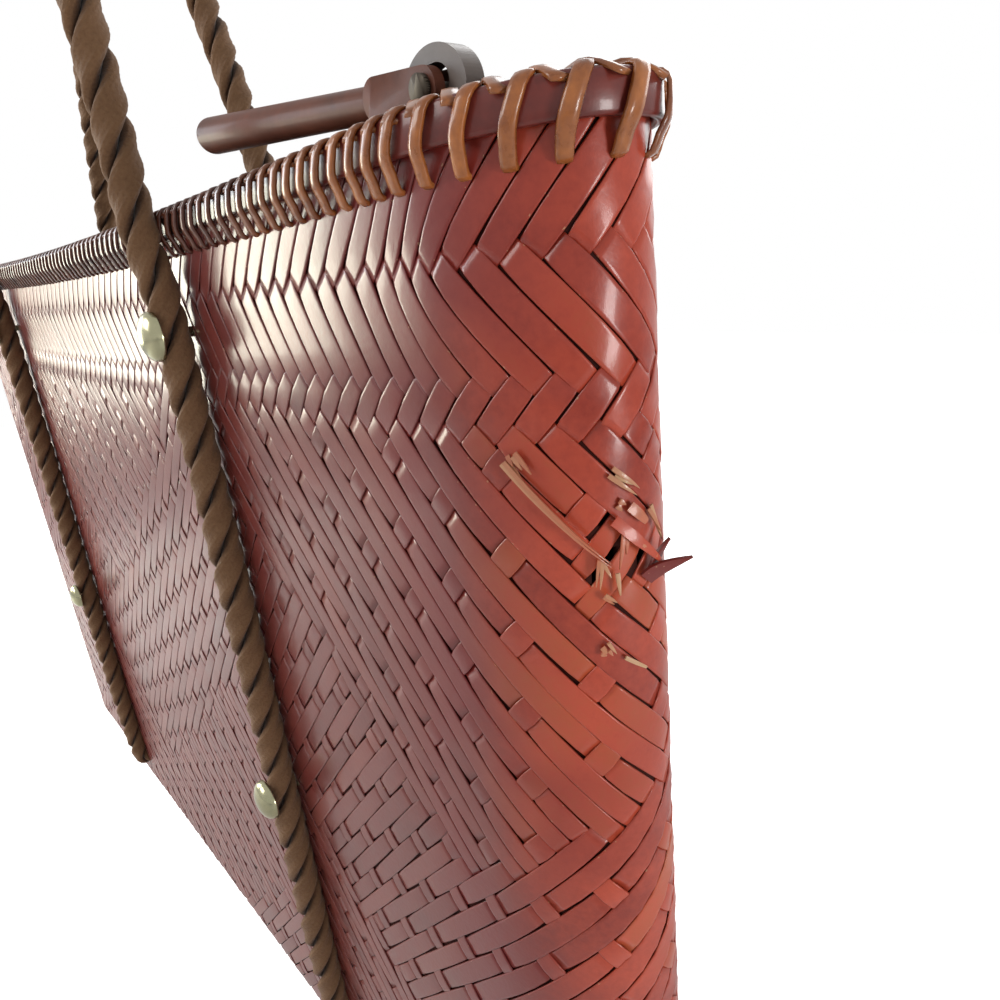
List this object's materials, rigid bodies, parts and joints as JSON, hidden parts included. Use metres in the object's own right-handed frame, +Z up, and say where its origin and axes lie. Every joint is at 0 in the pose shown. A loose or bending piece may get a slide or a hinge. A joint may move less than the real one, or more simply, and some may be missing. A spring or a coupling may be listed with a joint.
{
  "type": "basket box bag",
  "caption": "Thin box-shaped bag of bias-woven bamboo with rounded ends, a lashed rim, two rope handles held by domed studs, and a swinging bar closure.",
  "frame": {"origin": "centre of the bag's base at the underside", "axes": "+X along the bag's length towards the closure lug, +Z up from the base to the rim, front face towards -Y"},
  "size_m": [0.4116, 0.0512, 0.3634],
  "materials": {
    "lacquered_bamboo": "gloss",
    "rattan_hoop": "satin",
    "cane_lashing": "satin",
    "twisted_rope": "matte",
    "stud_metal": "polished",
    "lug_metal": "gloss",
    "lacquered_bar": "gloss",
    "small_metal": "satin"
  },
  "bodies": {
    "bag_body": {"basket_wall": "lacquered_bamboo", "outer_rim_hoop": "rattan_hoop", "inner_rim_hoop": "rattan_hoop", "rim_lashing": "cane_lashing", "closure_lug": "lug_metal", "lug_nail_left": "small_metal", "lug_nail_right": "small_metal", "front_rope_handle": "twisted_rope", "back_rope_handle": "twisted_rope", "front_left_rope_knot": "twisted_rope", "front_right_rope_knot": "twisted_rope", "back_left_rope_knot": "twisted_rope", "back_right_rope_knot": "twisted_rope", "front_left_upper_stud": "stud_metal", "front_left_lower_stud": "stud_metal", "front_right_upper_stud": "stud_metal", "front_right_lower_stud": "stud_metal", "back_left_upper_stud": "stud_metal", "back_left_lower_stud": "stud_metal", "back_right_upper_stud": "stud_metal", "back_right_lower_stud": "stud_metal"},
    "lever": {"closure_lever": "lacquered_bar", "lever_pin": "small_metal"}
  },
  "joints": [
    {"name": "lever_swing", "type": "hinge", "parent": "bag_body", "child": "lever", "pos_m": [0.177, -0.0047, 0.25103], "axis": [0, 1, 0], "range_deg": [0, 105]}
  ]
}
